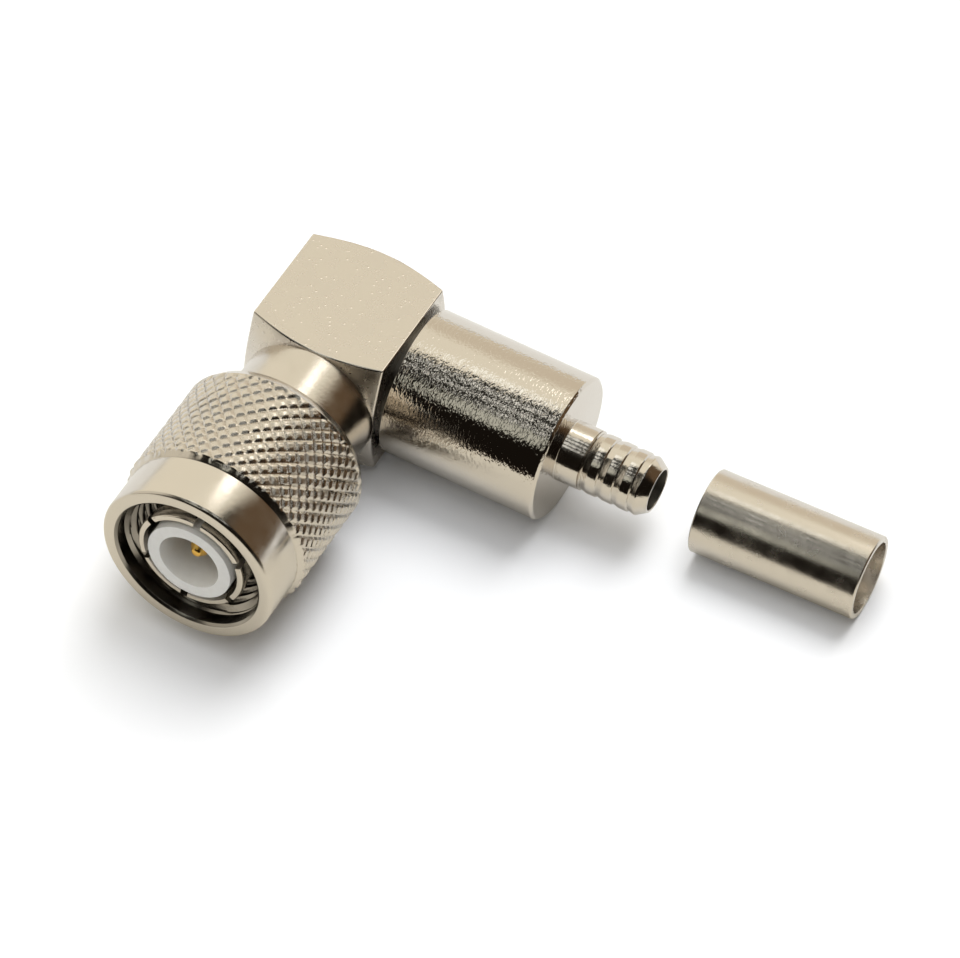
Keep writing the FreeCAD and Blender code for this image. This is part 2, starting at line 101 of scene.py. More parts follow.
def makeCamera(view):
    azimuth, elevation = math.radians(view["azimuth"]), math.radians(view["elevation"])
    forward = Vector((-math.sin(azimuth) * math.cos(elevation),
                      math.cos(azimuth) * math.cos(elevation),
                      -math.sin(elevation)))
    level = Vector((math.cos(azimuth), math.sin(azimuth), 0))
    overhead = level.cross(forward)
    roll = math.radians(view["roll"])
    right = level * math.cos(roll) + overhead * math.sin(roll)
    aim = Vector((view["aim"][0] * mm, view["aim"][1] * mm, cadBox[0].z))
    data = bpy.data.cameras.new("photoCamera")
    data.lens = view["lens"]
    data.sensor_width = view["sensor"]
    data.clip_start, data.clip_end = 0.05, 20
    camera = bpy.data.objects.new("photoCamera", data)
    turn = Matrix((right, right.cross(forward), -forward)).transposed().to_4x4()
    camera.matrix_world = Matrix.Translation(aim - forward * view["distance"] * mm) @ turn
    scene.collection.objects.link(camera)
    scene.camera = camera


makeCamera(cameraView)
print("camera set")


# Node helper and colours

def hexColour(code):
    parts = [int(code[at:at + 2], 16) / 255 for at in (1, 3, 5)]
    linear = [p / 12.92 if p <= 0.04045 else ((p + 0.055) / 1.055) ** 2.4 for p in parts]
    return linear + [1.0]


def addNode(tree, kind, values=None, links=None, **settings):
    node = tree.nodes.new("ShaderNode" + kind)
    for name, value in settings.items():
        setattr(node, name, value)
    for socket, value in (values or {}).items():
        node.inputs[socket].default_value = value
    for socket, source in (links or {}).items():
        tree.links.new(source, node.inputs[socket])
    return node


def newMaterial(name):
    material = bpy.data.materials.new(name)
    material.use_nodes = True
    material.node_tree.nodes.clear()
    return material, material.node_tree


def perMetre(size):
    return 1 / (size * mm)


# Nickel plate over brass. The warm grey comes from the nickel and the bright dip before it.

nickelLook = {
    "colour": "#DED8D0",
    "turnLines": 0.06,      # spacing of the tool lines left by the lathe
    "wearGrain": 1.4,       # size of the duller and brighter patches that handling leaves
    "wearSpread": (0.75, 1.3),      # and how far they take the roughness down and up
    "speckGap": 0.50,       # spacing of the small nodules that the plating leaves on rough bar
    "speckRim": (0.20, 0.06),       # share of the gap where a nodule begins and where its top is
    "speckRoughness": 0.06,
}


def grainHeight(tree, coordinates, size, detail=2.0, distortion=0.0):
    return addNode(tree, "TexNoise", {"Scale": perMetre(size), "Detail": detail, "Roughness": 0.55,
                   "Distortion": distortion}, {"Vector": coordinates})


# Heights and grains are in millimetres. squeeze shortens the peel along the axis, so its strokes
# lie round the piece as the tool went. The last factor darkens the plate's colour: painted shade
# for hollows and bores that lie in shadow.
def nickelMaterial(name, axis, roughness, peelHeight, peelGrain, turnHeight=0.0, squeeze=0.0,
                   speckHeight=0.0, paintedShadeFactor=1.0):
    look = nickelLook
    material, tree = newMaterial(name)
    where = addNode(tree, "TexCoord").outputs["Object"]
    along = addNode(tree, "VectorMath", {1: tuple(axis)}, {0: where}, operation="DOT_PRODUCT")
    shift = addNode(tree, "VectorMath", {0: tuple(Vector(axis) * squeeze)},
                    {"Scale": along.outputs["Value"]}, operation="SCALE")
    squeezed = addNode(tree, "VectorMath", links={0: where, 1: shift.outputs["Vector"]},
                       operation="ADD")
    peel = grainHeight(tree, squeezed.outputs["Vector"], peelGrain, 1.0, 0.6)
    lines = addNode(tree, "TexNoise", {"Scale": perMetre(look["turnLines"]), "Detail": 2.0},
                    {"W": along.outputs["Value"]}, noise_dimensions="1D")
    wear = grainHeight(tree, where, look["wearGrain"], 3.0)
    least, most = look["wearSpread"]
    rough = addNode(tree, "MapRange", {"From Min": 0.35, "From Max": 0.65,
                    "To Min": roughness * least, "To Max": roughness * most},
                    {"Value": wear.outputs["Fac"]})
    peelBump = addNode(tree, "Bump", {"Strength": 1.0, "Distance": peelHeight * mm},
                       {"Height": peel.outputs["Fac"]})
    lineBump = addNode(tree, "Bump", {"Strength": 1.0, "Distance": turnHeight * mm},
                       {"Height": lines.outputs["Fac"], "Normal": peelBump.outputs["Normal"]})
    normal, dullness = lineBump.outputs["Normal"], rough.outputs["Result"]
    if speckHeight:
        cells = addNode(tree, "TexVoronoi", {"Scale": perMetre(look["speckGap"])},
                        {"Vector": where})
        foot, top = look["speckRim"]
        specks = addNode(tree, "MapRange",
                         {"From Min": foot, "From Max": top, "To Min": 0.0, "To Max": 1.0},
                         {"Value": cells.outputs["Distance"]})
        speckBump = addNode(tree, "Bump", {"Strength": 1.0, "Distance": speckHeight * mm},
                            {"Height": specks.outputs["Result"], "Normal": normal})
        shine = addNode(tree, "Mix", {"B": look["speckRoughness"]},
                        {"Factor": specks.outputs["Result"], "A": dullness})
        normal, dullness = speckBump.outputs["Normal"], shine.outputs["Result"]
    # Painted shade: the plate's colour scaled down by the last factor.
    plate = [part * paintedShadeFactor for part in hexColour(look["colour"])[:3]] + [1.0]
    shader = addNode(tree, "BsdfPrincipled", {"Base Color": plate, "Metallic": 1.0},
                     {"Roughness": dullness, "Normal": normal})
    addNode(tree, "OutputMaterial", links={"Surface": shader.outputs["BSDF"]})
    return material


# Turned and plated: bright, with fine rings from the tool and a faint peel.
nickelTurnedNut = nickelMaterial("nickelTurnedNut", plugAxis, roughness=0.18, peelHeight=0.0020,
                                 peelGrain=0.30, turnHeight=0.0022)
# Knurled and plated: the pressed teeth are uneven on top and a little duller.
nickelKnurled = nickelMaterial("nickelKnurled", plugAxis, roughness=0.24, peelHeight=0.0200,
                               peelGrain=0.22)
# Inside the nut the plate is thinner and duller, and its colour is halved as painted shade, since
# the thread lies in shade.
nickelShadedNutBore = nickelMaterial("nickelShadedNutBore", plugAxis, roughness=0.20,
                                   peelHeight=0.0030, peelGrain=0.30, turnHeight=0.0014, paintedShadeFactor=0.5)
# The neck was turned with a coarser feed, so its rings show as fine lines in the highlight.
nickelTurnedNeck = nickelMaterial("nickelTurnedNeck", plugAxis, roughness=0.21, peelHeight=0.0060,
                                  peelGrain=0.20, turnHeight=0.0034)
# Turned barrel: mirror bright, but with an orange peel that breaks reflections into strokes.
nickelTurnedBarrel = nickelMaterial("nickelTurnedBarrel", cableAxis, roughness=0.05,
                                    peelHeight=0.0250, peelGrain=0.34, squeeze=1.0)
# The stem was turned finer than the barrel, because the cable's dielectric has to slide over it.
nickelTurnedStem = nickelMaterial("nickelTurnedStem", cableAxis, roughness=0.12,
                                  peelHeight=0.0080, peelGrain=0.25, turnHeight=0.0008)
# Edges of the bar, broken by tumbling: bright and smooth, so they draw dark and light lines.
nickelTumbledEdge = nickelMaterial("nickelTumbledEdge", plugAxis, roughness=0.08,
                                   peelHeight=0.0030, peelGrain=0.20)
# Inside the stem, and on the spigot, the relief groove and the barrel's face toward the block, the
# plate is thin and dull, and its colour is darkened to about a third as painted shade for these
# hollows.
nickelShadedHollow = nickelMaterial("nickelShadedHollow", cableAxis, roughness=0.45, peelHeight=0.0060,
                                peelGrain=0.25, paintedShadeFactor=0.35)
# Square bar stock: satin, with fine nodules that glint.
nickelBarStock = nickelMaterial("nickelBarStock", plugAxis, roughness=0.25, peelHeight=0.0030,
                                peelGrain=0.30, speckHeight=0.0140)
# Drawn tube, tumbled before plating: satin with a fine sparkle.
nickelDrawnTube = nickelMaterial("nickelDrawnTube", ferruleAxis, roughness=0.22,
                                 peelHeight=0.0060, peelGrain=0.10)


def grainyMetal(name, look):
    material, tree = newMaterial(name)
    where = addNode(tree, "TexCoord").outputs["Object"]
    grain = grainHeight(tree, where, look["grain"])
    bump = addNode(tree, "Bump", {"Strength": 1.0, "Distance": look["height"] * mm},
                   {"Height": grain.outputs["Fac"]})
    shader = addNode(tree, "BsdfPrincipled", {"Base Color": hexColour(look["colour"]),
                     "Metallic": 1.0, "Roughness": look["roughness"]},
                     {"Normal": bump.outputs["Normal"]})
    addNode(tree, "OutputMaterial", links={"Surface": shader.outputs["BSDF"]})
    return material


# Gold plate on the pin: deep yellow and smooth.
goldLook = {"colour": "#F0C163", "roughness": 0.18, "grain": 0.12, "height": 0.001}
# Hard spring bronze: bright brown metal, drawn and bent.
bronzeLook = {"colour": "#C08F5A", "roughness": 0.25, "grain": 0.10, "height": 0.002}

# Machined white fluoropolymer: waxy, a little light goes in, faint tool rings.
polymerLook = {
    "colours": ("#E4E3DE", "#EEEDE9"), "roughness": 0.38, "ior": 1.35,
    "toolRings": 0.08, "ringHeight": 0.001, "mottle": 0.5, "glow": 0.25, "glowDepth": 0.8,
}


def fluoropolymerMaterial(look):
    material, tree = newMaterial("fluoropolymerTurned")
    where = addNode(tree, "TexCoord").outputs["Object"]
    along = addNode(tree, "VectorMath", {1: tuple(plugAxis)}, {0: where}, operation="DOT_PRODUCT")
    lines = addNode(tree, "TexNoise", {"Scale": perMetre(look["toolRings"]), "Detail": 1.0},
                    {"W": along.outputs["Value"]}, noise_dimensions="1D")
    mottle = grainHeight(tree, where, look["mottle"])
    darker, lighter = [hexColour(code) for code in look["colours"]]
    tint = addNode(tree, "Mix", {"A": darker, "B": lighter}, {"Factor": mottle.outputs["Fac"]},
                   data_type="RGBA")
    bump = addNode(tree, "Bump", {"Strength": 1.0, "Distance": look["ringHeight"] * mm},
                   {"Height": lines.outputs["Fac"]})
    shader = addNode(tree, "BsdfPrincipled",
                     {"Roughness": look["roughness"], "IOR": look["ior"],
                      "Subsurface Weight": look["glow"], "Subsurface Scale": look["glowDepth"] * mm,
                      "Subsurface Radius": (1.0, 1.0, 1.0)},
                     {"Base Color": tint.outputs["Result"], "Normal": bump.outputs["Normal"]})
    addNode(tree, "OutputMaterial", links={"Surface": shader.outputs["BSDF"]})
    return material


# Moulded silicone: matt red-brown rubber, darker in the low spots of its grain.
siliconeLook = {
    "colours": ("#8A3A24", "#A04A30"), "roughness": 0.6, "ior": 1.41, "grain": 0.15,
    "height": 0.004,
}


def siliconeMaterial(look):
    material, tree = newMaterial("siliconeMoulded")
    where = addNode(tree, "TexCoord").outputs["Object"]
    grain = grainHeight(tree, where, look["grain"])
    darker, lighter = [hexColour(code) for code in look["colours"]]
    tint = addNode(tree, "Mix", {"A": darker, "B": lighter}, {"Factor": grain.outputs["Fac"]},
                   data_type="RGBA")
    bump = addNode(tree, "Bump", {"Strength": 1.0, "Distance": look["height"] * mm},
                   {"Height": grain.outputs["Fac"]})
    shader = addNode(tree, "BsdfPrincipled", {"Roughness": look["roughness"], "IOR": look["ior"]},
                     {"Base Color": tint.outputs["Result"], "Normal": bump.outputs["Normal"]})
    addNode(tree, "OutputMaterial", links={"Surface": shader.outputs["BSDF"]})
    return material


goldPlatedPin = grainyMetal("goldPlatedPin", goldLook)
fluoropolymerTurned = fluoropolymerMaterial(polymerLook)
siliconeMoulded = siliconeMaterial(siliconeLook)
springBronzeDrawn = grainyMetal("springBronzeDrawn", bronzeLook)
print("materials made")


# Turned meshes. A ring is a loop of points about local X, an outline is a list of corners.

def ring(along, radius, count, angle=None):
    if angle is None:
        angle = np.arange(count) * 2 * np.pi / count
    along, radius = np.broadcast_to(along, angle.shape), np.broadcast_to(radius, angle.shape)
    return np.column_stack([along, radius * np.cos(angle), radius * np.sin(angle)])


# Corners as (along, radius, rounding) become points, each rounded corner an arc.
def eased(corners, arcSteps=4):
    points = []
    for index, (along, radius, rounding) in enumerate(corners):
        corner = Vector((along, radius))
        if not rounding:
            points.append(corner)
            continue
        before = Vector(corners[index - 1][:2]) - corner
        after = Vector(corners[(index + 1) % len(corners)][:2]) - corner
        before.normalize()
        after.normalize()
        half = before.angle(after) / 2
        centre = corner + (before + after).normalized() * rounding / math.sin(half)
        first = corner + before * rounding / math.tan(half) - centre
        last = corner + after * rounding / math.tan(half) - centre
        sweep = first.angle(last)
        for step in range(arcSteps + 1):
            share = step / arcSteps
            arm = first * math.sin((1 - share) * sweep) + last * math.sin(share * sweep)
            points.append(centre + arm / math.sin(sweep))
    return points


def outlineRings(corners, count, angle=None):
    return [ring(point[0], point[1], count, angle) for point in eased(corners)]


# Faces between two neighbouring rings, which may have different counts.
def stitched(first, firstCount, second, secondCount):
    if firstCount == secondCount:
        turnOn = [(i + 1) % firstCount for i in range(firstCount)]
        return [(first + i, first + j, second + j, second + i) for i, j in enumerate(turnOn)]
    faces = []
    i = j = 0
    while i < firstCount or j < secondCount:
        if j == secondCount or (i < firstCount and (i + 1) / firstCount <= (j + 1) / secondCount):
            faces.append((first + i, first + (i + 1) % firstCount, second + j % secondCount))
            i += 1
        else:
            faces.append((first + i % firstCount, second + (j + 1) % secondCount, second + j))
            j += 1
    return faces


# A closed tube through a loop of rings. materials is a list of (rings that it starts at, material).
def ringMesh(name, rings, place, materials, sharpAngle=32):
    starts = np.cumsum([0] + [len(loop) for loop in rings]).tolist()
    faces = []
    slots = []
    order = [firstRing for firstRing, _ in materials]
    for index, loop in enumerate(rings):
        following = (index + 1) % len(rings)
        strip = stitched(starts[index], len(loop), starts[following], len(rings[following]))
        faces += strip
        slots += [sum(index >= start for start in order) - 1] * len(strip)
    mesh = bpy.data.meshes.new(name)
    mesh.from_pydata(np.concatenate(rings).tolist(), [], faces)
    mesh.transform(place)
    mesh.shade_smooth()
    mesh.set_sharp_from_angle(angle=math.radians(sharpAngle))
    for _, material in materials:
        mesh.materials.append(material)
    mesh.polygons.foreach_set("material_index", slots)
    piece = bpy.data.objects.new(name, mesh)
    scene.collection.objects.link(piece)
    return piece


# Coupling nut: collar, knurled grip, and the internal 7/16-28 thread in the mouth

nutLook = {
    "front": -0.53, "back": 12.44,
    "mouthR": 5.78, "mouthCone": 0.18, "collarR": 6.76, "mouthRound": 0.30,
    "collarBack": 3.19, "knurlFront": 3.60, "knurlBack": 11.74, "knurlR": 7.15, "tailR": 6.75,
    "grooves": (37, 43), "groovePitch": 1.176, "knurlDepth": 0.15, "toothFlat": 0.50,
    "toothEdge": 0.04, "toothStart": 0.10, "shoulderDrop": 0.01, "runOut": 0.25,
    "knurlStep": 0.09, "knurlColumns": 480,
    "leadInR": 5.60, "threadFront": 0.57, "threadBack": 8.17, "threadCrestR": 5.12,
    "threadRootR": 5.555, "threadPitch": 0.907, "threadFlat": 0.12, "flankDegrees": 30,
    "threadSteps": 10,
    "reliefR": 5.65, "lipFront": 9.57, "runningR": 5.196, "grooveR": 5.526,
    "grooveFront": 10.45, "grooveBack": 11.15, "boreColumns": 240, "edge": 0.05,
    "seam": 0.20,           # band on both end faces where outer and inner columns are joined
}


def smoothStep(value, low, high):
    share = np.clip((value - low) / (high - low), 0, 1)
    return share * share * (3 - 2 * share)


# Two families of grooves cross: the height of a tooth is that of the nearer groove's flank.
def knurlRadius(look, along, count):
    turns = np.arange(count) / count
    steps = along / look["groovePitch"]
    left = look["grooves"][0] * turns - steps
    right = look["grooves"][1] * turns + steps
    flanks = [2 * np.abs(family - np.floor(family) - 0.5) for family in (left, right)]
    height = np.minimum(*flanks) / (1 - look["toothFlat"])
    height = 1 - np.sqrt((1 - np.minimum(height, 1)) ** 2 + look["toothEdge"] ** 2)
    fade = 1 - smoothStep(along, look["knurlBack"] - look["runOut"], look["knurlBack"])
    return look["knurlR"] - look["knurlDepth"] * fade * (1 - height)


def threadRadius(look, along, count):
    turns = np.arange(count) / count
    phase = along / look["threadPitch"] - turns
    away = 2 * np.abs(phase - np.floor(phase) - 0.5)      # 0 at a root, 1 at a crest
    depth = look["threadRootR"] - look["threadCrestR"]
    flank = look["threadPitch"] / 2 / math.tan(math.radians(look["flankDegrees"]))
    crest = look["threadRootR"] - (away - look["threadFlat"]) * flank
    thread = np.clip(crest, look["threadRootR"] - depth, look["threadRootR"])
    leadIn = look["leadInR"] - (along - look["threadFront"])
    leadOut = look["reliefR"] - (look["threadBack"] - along)
    return np.maximum(thread, max(leadIn, leadOut))


def makeNut(look):
    count = look["knurlColumns"]
    edge = look["edge"]
    middleR = (look["mouthR"] + look["collarR"]) / 2
    shoulderR = look["knurlR"] - look["knurlDepth"] - look["shoulderDrop"]
    rings = outlineRings([
        (look["front"], middleR - look["seam"] / 2, 0),
        (look["front"], look["collarR"], look["mouthRound"]),
        (look["collarBack"] - edge, look["collarR"], 0),
        (look["collarBack"], look["collarR"], 0),
        (look["collarBack"] + edge / 4, look["collarR"] + edge / 2, 0),
        (look["knurlFront"] - look["toothStart"], shoulderR, 0),
    ], count)
    steps = round((look["knurlBack"] - look["knurlFront"]) / look["knurlStep"])
    rows = np.linspace(look["knurlFront"], look["knurlBack"], steps)
    knurlStart = len(rings)
    rings += [ring(along, knurlRadius(look, along, count), count) for along in rows]
    knurlEnd = len(rings) - 1
    rings += outlineRings([
        (look["knurlBack"] + edge, look["knurlR"] - edge / 2, 0),
        (look["back"], look["tailR"], edge),
        (look["back"], middleR, 0),
    ], count)
    bore = look["boreColumns"]
    boreStart = len(rings) + 1
    rings += outlineRings([
        (look["back"], middleR - look["seam"], 0),
        (look["back"], look["runningR"], edge),
        (look["grooveBack"], look["runningR"], 0),
        (look["grooveBack"], look["grooveR"], 0),
        (look["grooveFront"], look["grooveR"], 0),
        (look["grooveFront"], look["runningR"], 0),
        (look["lipFront"], look["runningR"], edge),
        (look["lipFront"], look["reliefR"], 0),
        (look["threadBack"], look["reliefR"], 0),
    ], bore)
    step = look["threadPitch"] / look["threadSteps"]
    rows = np.arange(look["threadBack"], look["threadFront"], -step)
    rings += [ring(along, threadRadius(look, along, bore), bore) for along in rows[1:]]
    rings += outlineRings([
        (look["threadFront"], look["leadInR"], 0),
        (look["front"] + look["mouthCone"], look["leadInR"], edge),
        (look["front"], look["mouthR"], edge),
        (look["front"], middleR - look["seam"], 0),
    ], bore)
    mouthStart = len(rings) - 2
    nut = ringMesh("coupling_nut_turned", rings, plugPlace, [
        (0, nickelTurnedNut), (knurlStart, nickelKnurled), (knurlEnd, nickelTurnedNut),
        (boreStart, nickelShadedNutBore), (mouthStart, nickelTurnedNut),
    ])
    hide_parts("coupling_nut")
    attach(nut, "nut")


makeNut(nutLook)
print("coupling nut made")


# Cable entry: heavy barrel with a stem that has rounded barbs

entryLook = {
    "spigotFront": 3.33, "spigotR": 3.00, "face": 5.07, "reliefR": 4.55,
    "barrelFront": 5.60, "barrelR": 5.52, "barrelBack": 17.86, "rimLen": 0.20, "rimWall": 0.22,
    "rimRound": 0.04, "boreR": 1.57, "rootR": 2.29, "rootRound": 0.06, "barbsAt": 19.80,
    "barbCount": 4, "barbPitch": 1.27, "valleyR": 2.13, "crestR": 2.27,
    # corners of one barb: share of the pitch, which radius, rounding
    "barbCorners": [(-0.02, "crestR", 0.03), (0.05, "valleyR", 0.03), (0.45, "crestR", 0.20)],
    "tipR": 1.74, "tipLen": 0.11, "edge": 0.04, "columns": 192,
}


def makeEntry(look):
    edge = look["edge"]
    corners = [
        (look["spigotFront"], look["boreR"], 0),
        (look["spigotFront"], look["spigotR"], 0),
        (look["face"], look["spigotR"], 0),
        (look["face"], look["reliefR"], 0),
        (look["barrelFront"], look["reliefR"], 0),
        (look["barrelFront"], look["barrelR"], look["rimRound"]),
        (look["barrelBack"] - look["rimLen"], look["barrelR"], look["rimRound"]),
        (look["barrelBack"], look["barrelR"] - look["rimWall"], look["rimRound"]),
        (look["barrelBack"], look["rootR"], look["rootRound"]),
        (look["barbsAt"], look["rootR"], look["rootRound"]),
    ]
    for barb in range(look["barbCount"]):
        root = look["barbsAt"] + look["barbPitch"] * barb
        for share, radius, rounding in look["barbCorners"]:
            corners.append((root + look["barbPitch"] * share, look[radius], rounding))
    tip = look["barbsAt"] + look["barbPitch"] * look["barbCount"] + look["tipLen"]
    corners += [
        (tip, look["tipR"], edge),
        (tip, look["boreR"], edge),
    ]
    rings = outlineRings(corners, look["columns"])
    barrelStart = [loop[0][0] >= look["barrelFront"] - 1e-6 for loop in rings].index(True) + 1
    stemStart = [loop[0][0] > look["barrelBack"] - 1e-6 for loop in rings].index(True) + 1
    entry = ringMesh("cable_entry_turned", rings, cablePlace,
                     [(0, nickelShadedHollow), (barrelStart, nickelTurnedBarrel),
                      (stemStart, nickelTurnedStem), (len(rings) - 1, nickelShadedHollow)])
    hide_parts("cable_entry")
    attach(entry, "plug")


makeEntry(entryLook)
print("cable entry made")


# Elbow body: square bar with both ends turned to a cone, and the neck that the nut runs on

elbowLook = {
    "blindSide": 5.47, "entrySide": 5.07, "halfWidth": 5.27, "barFront": 17.12, "barBack": 27.98,
    "coneDegrees": 23.7, "neckR": 5.126, "neckFront": 9.35, "endFaceR": 5.20,
    "grooveFloorR": 4.626, "grooveFront": 10.20, "grooveBack": 11.40,
    "sleeveR": 4.04, "seatAt": 13.70, "boreR": 3.30, "capR": 4.30, "capSeat": 26.98,
    "holeR": 2.20, "spigotR": 3.00, "spigotFront": 3.33, "edge": 0.05, "barEdge": 0.11,
    "bevelShare": 0.8,      # share of a narrow face that a broken edge beside it may take
    "bevelRoom": 0.154,     # least width of the cone round the flat back face
    "sharpDegrees": 40, "pointsPerSide": 48, "holeColumns": 96,
}


# Angles and radii of points spaced evenly round the bar's section, each corner among them.
def barSection(look):
    low, high, half = -look["blindSide"], look["entrySide"], look["halfWidth"]
    corners = [(half, low), (half, high), (-half, high), (-half, low)]
    points = []
    for index, corner in enumerate(corners):
        following = corners[(index + 1) % len(corners)]
        for step in range(look["pointsPerSide"]):
            share = step / look["pointsPerSide"]
            points.append([a + (b - a) * share for a, b in zip(corner, following)])
    upward, sideways = np.array(points).T
    return np.arctan2(sideways, upward), np.hypot(sideways, upward)


# Cut one mesh out of another and forget the cutter.
def cutAway(body, cutter):
    tool = body.modifiers.new("cut", "BOOLEAN")
    tool.operation = "DIFFERENCE"
    tool.object = cutter
    bpy.context.view_layer.update()
    evaluated = body.evaluated_get(bpy.context.evaluated_depsgraph_get())
    mesh = bpy.data.meshes.new_from_object(evaluated)
    body.modifiers.clear()
    body.data = mesh
    bpy.data.objects.remove(cutter)


# Give a bevel weight to the sharp edges of the square bar and to no others, less of it where
# the faces beside an edge are narrow.
def markBarEdges(mesh, look):
    parted = bmesh.new()
    parted.from_mesh(mesh)
    weight = parted.edges.layers.float.new("bevel_weight_edge")
    back = plugPlace.inverted()
    holeAlong = (back @ cablePlace.translation).x

    def onBar(vertex):
        along, upward, sideways = back @ vertex.co
        side = look["entrySide"] if sideways > 0 else look["blindSide"]
        outside = abs(abs(upward) - look["halfWidth"]) < 0.01 or abs(abs(sideways) - side) < 0.01
        inHole = sideways > 0 and math.hypot(along - holeAlong, upward) < look["spigotR"] + 0.1
        return outside and not inHole

    for edge in parted.edges:
        if edge.is_convex and edge.calc_face_angle() > math.radians(look["sharpDegrees"]):
            if all(onBar(vertex) for vertex in edge.verts):
                room = min(face.calc_area() for face in edge.link_faces) / edge.calc_length()
                edge[weight] = min(1.0, look["bevelShare"] * room / (look["barEdge"] * mm))
    parted.to_mesh(mesh)
    parted.free()


def makeElbow(look):
    angle, reach = barSection(look)
    count = len(angle)
    slope = math.tan(math.radians(look["coneDegrees"]))
    front = look["barFront"] + np.maximum(reach - look["neckR"], 0) * slope
    back = look["barBack"] - np.maximum(reach - look["endFaceR"], 0) * slope
    edge = look["edge"]
    neck = outlineRings([
        (look["barBack"], look["capR"], 0),
        (look["capSeat"], look["capR"], 0),
        (look["capSeat"], look["boreR"], 0),
        (look["seatAt"], look["boreR"], 0),
        (look["seatAt"], look["sleeveR"], 0),
        (look["neckFront"], look["sleeveR"], edge),
        (look["neckFront"], look["neckR"], edge),
        (look["grooveFront"], look["neckR"], 0),
        (look["grooveFront"], look["grooveFloorR"], 0),
        (look["grooveBack"], look["grooveFloorR"], 0),
        (look["grooveBack"], look["neckR"], 0),
        (look["barFront"], look["neckR"], 0),
    ], count, angle)
    rings = neck + [
        ring(look["barFront"], look["neckR"] + 0.01, count, angle),
        ring(front, reach, count, angle),
        ring(back, reach, count, angle),
        ring(look["barBack"], np.minimum(look["endFaceR"], reach - look["bevelRoom"]),
             count, angle),
    ]
    body = ringMesh("elbow_body_bar", rings, plugPlace, [
        (0, nickelTurnedNeck), (len(neck), nickelBarStock),
    ])
    body.data.materials.append(nickelTumbledEdge)
    entrance = ringMesh("entry_cutter", outlineRings([
        (0, 0.01, 0),
        (0, look["holeR"], 0),
        (look["spigotFront"], look["holeR"], 0),
        (look["spigotFront"], look["spigotR"], 0),
        (look["entrySide"] + 1, look["spigotR"], 0),
        (look["entrySide"] + 1, 0.01, 0),
    ], look["holeColumns"]), cablePlace, [(0, nickelTurnedNeck)])
    cutAway(body, entrance)
    markBarEdges(body.data, look)
    soften = body.modifiers.new("brokenEdges", "BEVEL")
    soften.width = look["barEdge"] * mm
    soften.segments = 3
    soften.material = 2
    soften.limit_method = "WEIGHT"
    soften.use_clamp_overlap = False
    soften.harden_normals = True
    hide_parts("elbow_body")
    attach(body, "plug")


makeElbow(elbowLook)
print("elbow body made")


# Crimp ferrule: a plain piece of thin tube with lightly broken edges

ferruleLook = {
    "length": 12.75, "outerR": 3.15, "innerR": 2.70, "cut": 0.10, "edge": 0.04, "columns": 160,
}


def makeFerrule(look):
    half = look["length"] / 2
    corners = [
        (-half, look["innerR"], look["edge"]),
        (-half, look["outerR"] - look["cut"], look["edge"]),
        (look["cut"] - half, look["outerR"], look["edge"]),
        (half - look["cut"], look["outerR"], look["edge"]),
        (half, look["outerR"] - look["cut"], look["edge"]),
        (half, look["innerR"], look["edge"]),
    ]
    tube = ringMesh("crimp_ferrule_tube", outlineRings(corners, look["columns"]), ferrulePlace,
                    [(0, nickelDrawnTube)])
    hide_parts("crimp_ferrule")
    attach(tube, "ferrule")


makeFerrule(ferruleLook)
print("ferrule made")


# Pieces that keep their frame mesh and get a finish

finishes = {
    "rear_cap": nickelBarStock,
    "outer_contact": nickelTurnedNut,
    "retaining_ring": springBronzeDrawn,
    "front_dielectric": fluoropolymerTurned,
    "cap_insulator": fluoropolymerTurned,
    "interface_gasket": siliconeMoulded,
    "centre_contact": goldPlatedPin,
}
for nodeName, finish in finishes.items():
    node = frame["nodes"][nodeName]
    node.data.materials.clear()
    node.data.materials.append(finish)

# The contact's lips are rolled, and its saw cuts are deburred.
contactLook = {"lipRounding": 0.10, "segments": 3, "sharpDegrees": 35}
lips = frame["nodes"]["outer_contact"].modifiers.new("roundedLips", "BEVEL")
lips.width = contactLook["lipRounding"] * mm
lips.segments = contactLook["segments"]
lips.limit_method = "ANGLE"
lips.angle_limit = math.radians(contactLook["sharpDegrees"])
lips.harden_normals = True
print("frame pieces finished")


# Bench, backdrop and lights. Directions are azimuth from +Y towards +X, and elevation.

studioLook = {
    "benchSize": 4000, "benchColour": "#ECEEF2",
    "benchLift": 0.03,      # light that the camera alone sees, so open bench reads as white
    "roomColour": "#17130F",
    # The bench as metal mirrors it, in reflections only: a darker copy of the paper as painted
    # shade, a painted shadow of the object towards the camera, and painted shade that is dark at
    # its far end.
    "mirroredColour": "#D6D7D7", "shadeColour": "#CDC9BE", "farShadeColour": "#3A322B",
    "shadeAzimuth": 160, "shadeFrom": -14, "shadeTo": -4, "farShadeFrom": 55, "farShadeTo": 150,
    "downlightGap": 0.24, "downlightR": 0.30,       # shares of the ceiling's height, and of the gap
}
